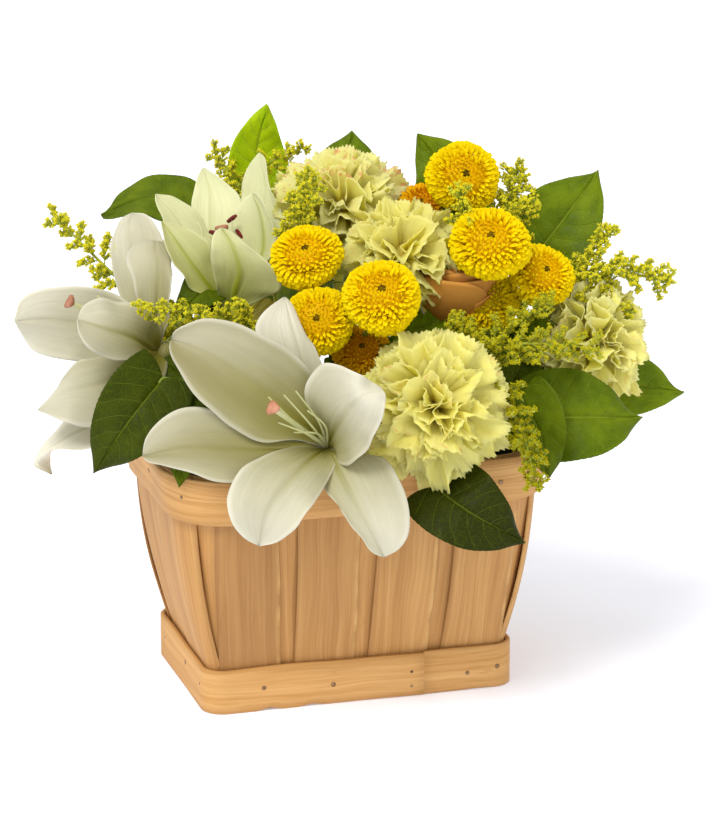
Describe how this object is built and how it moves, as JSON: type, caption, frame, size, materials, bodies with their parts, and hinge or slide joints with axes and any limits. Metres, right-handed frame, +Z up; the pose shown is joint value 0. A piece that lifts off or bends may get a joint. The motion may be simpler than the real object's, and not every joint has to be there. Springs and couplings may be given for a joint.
{
  "type": "flower basket arrangement",
  "caption": "Rectangular wood-splint basket with a lined foam block, filled with white lilies, pale yellow carnations, yellow button mums, goldenrod and broad green leaves",
  "frame": {"origin": "middle of the basket's underside, on the surface it stands on", "axes": "+Z up, +X to the right along the basket's long side, -Y towards the front of the arrangement"},
  "size_m": [0.358, 0.2776, 0.2899],
  "materials": {
    "splint": "thin split wood, pale honey, fine straight grain, unfinished",
    "band": "thin bent wood band, pale honey, fine grain, unfinished",
    "board": "plain softwood board, unfinished",
    "liner": "thin dark green plastic tray, slightly glossy",
    "foam": "wet floral foam, dark green, fine cells",
    "lily_petal": "white petal, waxy, faintly ribbed, greenish towards the throat",
    "carnation_petal": "pale yellow ruffled petal with a few pink-red flecks",
    "rose_petal": "soft apricot petal",
    "mum_floret": "bright yellow florets, deeper orange towards the middle",
    "goldenrod": "tiny yellow-green florets on thin green twigs",
    "leaf": "green leaf, slightly glossy, net veins",
    "stem": "smooth pale green stem"
  },
  "bodies": {
    "root": {"splints_front": "splint", "splints_back": "splint", "splints_left": "splint", "splints_right": "splint", "base_band": "band", "rim_band_outer": "band", "rim_band_inner": "band", "bottom_board": "board", "liner": "liner", "floral_foam": "foam", "lily_front_petals": "lily_petal", "lily_upright_petals": "lily_petal", "lily_left_petals": "lily_petal", "carnation_front_bloom": "carnation_petal", "carnation_middle_bloom": "carnation_petal", "carnation_top_bloom": "carnation_petal", "carnation_right_bloom": "carnation_petal", "carnation_back_bloom": "carnation_petal", "rose_bloom": "rose_petal", "mum_1": "mum_floret", "mum_2": "mum_floret", "mum_3": "mum_floret", "mum_4": "mum_floret", "mum_5": "mum_floret", "mum_6": "mum_floret", "mum_7": "mum_floret", "mum_8": "mum_floret", "mum_9": "mum_floret", "mum_10": "mum_floret", "mum_11": "mum_floret", "goldenrod_left": "goldenrod", "goldenrod_upper_left": "goldenrod", "goldenrod_top": "goldenrod", "goldenrod_front_left": "goldenrod", "goldenrod_upper_right": "goldenrod", "goldenrod_right": "goldenrod", "goldenrod_front_right": "goldenrod", "goldenrod_low_right": "goldenrod", "goldenrod_back": "goldenrod", "leafy_stem_left": "leaf", "leafy_stem_upper_left": "leaf", "leafy_stem_top": "leaf", "leafy_stem_upper_right": "leaf", "leafy_stem_right": "leaf", "leafy_stem_front": "leaf", "leafy_stem_back_left": "leaf", "leafy_stem_back_right": "leaf", "lily_front_stem": "stem", "lily_upright_stem": "stem", "lily_left_stem": "stem", "carnation_front_stem": "stem", "carnation_middle_stem": "stem", "carnation_top_stem": "stem", "carnation_right_stem": "stem", "carnation_back_stem": "stem", "rose_stem": "stem", "mum_spray_centre": "stem", "mum_spray_upper": "stem", "mum_spray_right": "stem", "mum_spray_back": "stem"}
  },
  "joints": []
}
